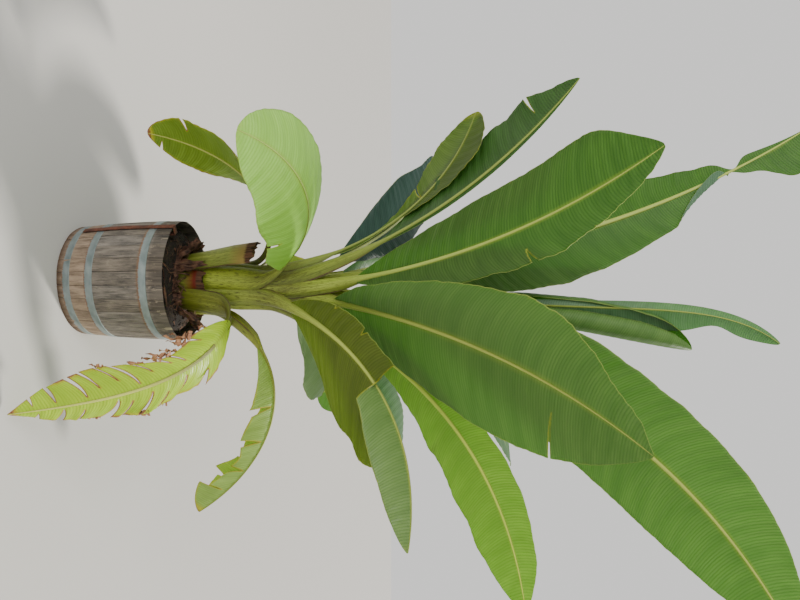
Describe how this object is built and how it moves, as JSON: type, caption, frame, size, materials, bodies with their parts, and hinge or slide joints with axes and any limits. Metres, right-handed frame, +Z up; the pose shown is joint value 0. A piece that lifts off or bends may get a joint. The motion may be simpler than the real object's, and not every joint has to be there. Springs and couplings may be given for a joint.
{
  "type": "large-leaved banana plant in a half-barrel tub",
  "caption": "Leafy banana plant: broad blades on long stalks rise and arch from a short trunk of leaf bases, standing in a half barrel of staves and hoops filled with soil.",
  "frame": {"origin": "middle of the tub's flat underside, on the surface that it stands on", "axes": "+Z up along the tub's axis, -Y towards the front that the picture shows, +X to that front's right"},
  "size_m": [2.5065, 2.2062, 3.7719],
  "materials": {
    "weathered_oak": "matte",
    "galvanised_steel": "satin",
    "rusty_iron": "matte",
    "potting_soil": "matte",
    "leaf_base": "satin",
    "cut_leaf_base": "matte",
    "dry_sheath": "matte",
    "green_leaf": "satin",
    "pale_leaf": "satin",
    "yellowing_leaf": "satin"
  },
  "bodies": {
    "root": {"tub_staves": "weathered_oak", "tub_head": "weathered_oak", "hoop_upper": "galvanised_steel", "hoop_lower": "galvanised_steel", "hoop_foot": "galvanised_steel", "strap_front_left": "rusty_iron", "strap_back_right": "rusty_iron", "soil": "potting_soil", "false_trunk": "leaf_base", "sheath_front_right": "leaf_base", "sheath_front_left": "leaf_base", "sheath_right": "leaf_base", "sheath_left": "leaf_base", "sheath_far_left": "leaf_base", "sheath_back_left": "leaf_base", "sheath_back": "leaf_base", "sheath_back_right": "leaf_base", "sheath_right_inner": "leaf_base", "sheath_far_right": "leaf_base", "sheath_cup": "leaf_base", "stub_left": "cut_leaf_base", "stub_front": "cut_leaf_base", "stub_back": "cut_leaf_base", "dry_sheath_left": "dry_sheath", "dry_sheath_front": "dry_sheath", "dry_sheath_back": "dry_sheath", "leaf_front_right": "green_leaf", "leaf_front_left": "green_leaf", "leaf_low_front_right": "green_leaf", "leaf_tall_right": "green_leaf", "leaf_tall_left": "green_leaf", "leaf_shaded_left": "green_leaf", "leaf_mid_left": "green_leaf", "leaf_mid_right": "green_leaf", "leaf_spear_tall": "green_leaf", "leaf_spear_short": "green_leaf", "leaf_back_tall": "green_leaf", "leaf_back_right_upper": "green_leaf", "leaf_back_right_lower": "green_leaf", "leaf_back_left": "green_leaf", "leaf_back_mid": "green_leaf", "leaf_back_right_arching_inner": "green_leaf", "leaf_back_right_arching_outer": "green_leaf", "leaf_back_left_arching_inner": "green_leaf", "leaf_back_left_arching_outer": "green_leaf", "leaf_back_hanging_inner": "green_leaf", "leaf_back_hanging_outer": "green_leaf", "leaf_arching_front_left_inner": "pale_leaf", "leaf_arching_front_left_outer": "pale_leaf", "leaf_short_right": "pale_leaf", "leaf_hanging_front_right_inner": "yellowing_leaf", "leaf_hanging_front_right_outer": "yellowing_leaf", "leaf_arching_right_inner": "yellowing_leaf", "leaf_arching_right_outer": "yellowing_leaf", "leaf_hanging_left_inner": "yellowing_leaf", "leaf_hanging_left_outer": "yellowing_leaf"}
  },
  "joints": []
}
